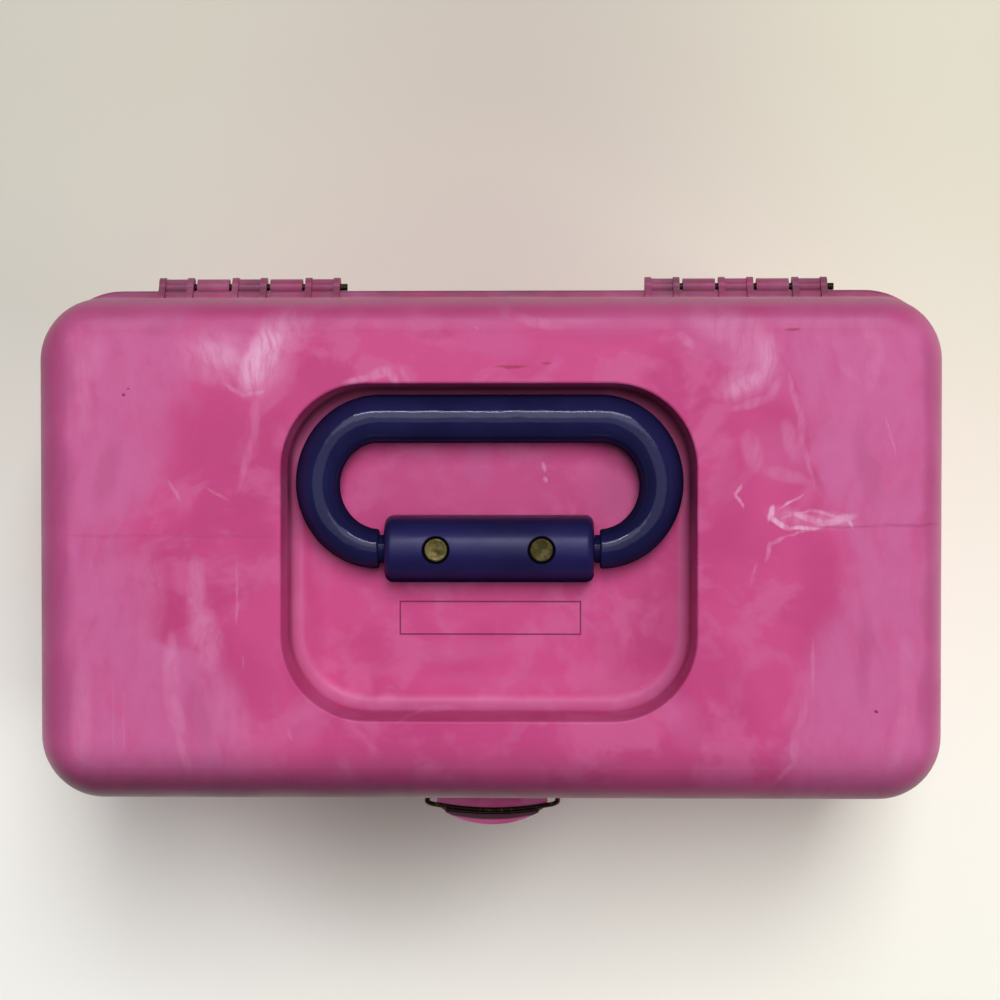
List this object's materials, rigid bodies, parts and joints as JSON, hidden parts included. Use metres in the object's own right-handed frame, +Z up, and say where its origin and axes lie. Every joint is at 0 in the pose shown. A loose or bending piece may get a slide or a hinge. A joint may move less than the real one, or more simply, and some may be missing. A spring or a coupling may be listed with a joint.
{
  "type": "makeup storage case",
  "caption": "Moulded makeup case with a recessed folding handle, a wire draw latch, a rear-hinged lid with a mirror, and cantilever trays.",
  "frame": {"origin": "centre of the flat base, on the surface that the case stands on", "axes": "+Z up, +X along the length to the right, hinges at +Y, latch at -Y"},
  "size_m": [0.3052, 0.1876, 0.16],
  "materials": {
    "case_plastic": "marbled pink moulded plastic, satin",
    "handle_plastic": "smooth navy, glossy",
    "barrel_plastic": "navy, slightly satin",
    "lever_plastic": "navy, slightly satin",
    "tray_plastic": "plain pink moulded plastic, satin",
    "divider_plastic": "plain pink moulded plastic, satin",
    "aged_brass": "aged, dull yellow brown",
    "steel": "plain steel wire and rivets",
    "arm_metal": "pressed steel strip",
    "frame_plastic": "navy, satin",
    "mirror": "silvered glass"
  },
  "bodies": {
    "case": {"body_shell": "case_plastic", "left_hinge_pin": "steel", "right_hinge_pin": "steel", "latch_pivot_pin": "steel", "body_arm_rivets": "steel"},
    "lid": {"lid_shell": "case_plastic", "handle_barrel": "barrel_plastic", "handle_rivets": "aged_brass", "rivet_washers": "steel", "mirror_frame": "frame_plastic", "mirror_glass": "mirror", "mirror_screws": "steel", "lid_tray_pins": "steel"},
    "handle": {"handle_bail": "handle_plastic"},
    "latch_lever": {"latch_lever": "lever_plastic"},
    "latch_bail": {"latch_bail": "aged_brass"},
    "left_rear_arm": {"left_rear_arm": "arm_metal"},
    "left_front_arm": {"left_front_arm": "arm_metal"},
    "right_rear_arm": {"right_rear_arm": "arm_metal"},
    "right_front_arm": {"right_front_arm": "arm_metal"},
    "lower_tray": {"lower_tray": "tray_plastic", "lower_tray_dividers": "divider_plastic", "lower_tray_rivets": "steel"},
    "upper_tray": {"upper_tray": "tray_plastic", "upper_tray_dividers": "divider_plastic", "upper_tray_rivets": "steel"}
  },
  "joints": [
    {"name": "lid_hinge", "type": "hinge", "parent": "case", "child": "lid", "pos_m": [0, 0.08845, 0.112], "axis": [-1, 0, 0], "range_deg": [0, 100]},
    {"name": "handle_hinge", "type": "hinge", "parent": "lid", "child": "handle", "pos_m": [0, -0.0003, 0.148], "axis": [1, 0, 0], "range_deg": [0, 180]},
    {"name": "latch_lever_hinge", "type": "hinge", "parent": "case", "child": "latch_lever", "pos_m": [0, -0.08601, 0.088], "axis": [-1, 0, 0], "range_deg": [0, 110]},
    {"name": "latch_bail_hinge", "type": "hinge", "parent": "latch_lever", "child": "latch_bail", "pos_m": [0, -0.08641, 0.082], "axis": [-1, 0, 0], "range_deg": [-220, 0]},
    {"name": "left_rear_arm_hinge", "type": "hinge", "parent": "case", "child": "left_rear_arm", "pos_m": [-0.1361, 0.0518, 0.09106], "axis": [-1, 0, 0], "range_deg": [0, 100]},
    {"name": "left_front_arm_hinge", "type": "hinge", "parent": "case", "child": "left_front_arm", "pos_m": [-0.1361, 0.0082, 0.087], "axis": [-1, 0, 0], "range_deg": [0, 100]},
    {"name": "right_rear_arm_hinge", "type": "hinge", "parent": "case", "child": "right_rear_arm", "pos_m": [0.1361, 0.0518, 0.09106], "axis": [-1, 0, 0], "range_deg": [0, 100]},
    {"name": "right_front_arm_hinge", "type": "hinge", "parent": "case", "child": "right_front_arm", "pos_m": [0.1361, 0.0082, 0.087], "axis": [-1, 0, 0], "range_deg": [0, 100]},
    {"name": "lower_tray_hinge", "type": "hinge", "parent": "left_rear_arm", "child": "lower_tray", "pos_m": [-0.1361, 0.0188, 0.09606], "axis": [-1, 0, 0], "range_deg": [-100, 0]},
    {"name": "upper_tray_hinge", "type": "hinge", "parent": "left_rear_arm", "child": "upper_tray", "pos_m": [-0.1361, -0.0142, 0.10106], "axis": [-1, 0, 0], "range_deg": [-100, 0]}
  ],
  "couplings": [
    {"joint": "latch_bail_hinge", "follows": "latch_lever_hinge", "ratio": -2},
    {"joint": "left_rear_arm_hinge", "follows": "lid_hinge", "ratio": 1},
    {"joint": "left_front_arm_hinge", "follows": "lid_hinge", "ratio": 1},
    {"joint": "right_rear_arm_hinge", "follows": "lid_hinge", "ratio": 1},
    {"joint": "right_front_arm_hinge", "follows": "lid_hinge", "ratio": 1},
    {"joint": "lower_tray_hinge", "follows": "lid_hinge", "ratio": -1},
    {"joint": "upper_tray_hinge", "follows": "lid_hinge", "ratio": -1}
  ]
}
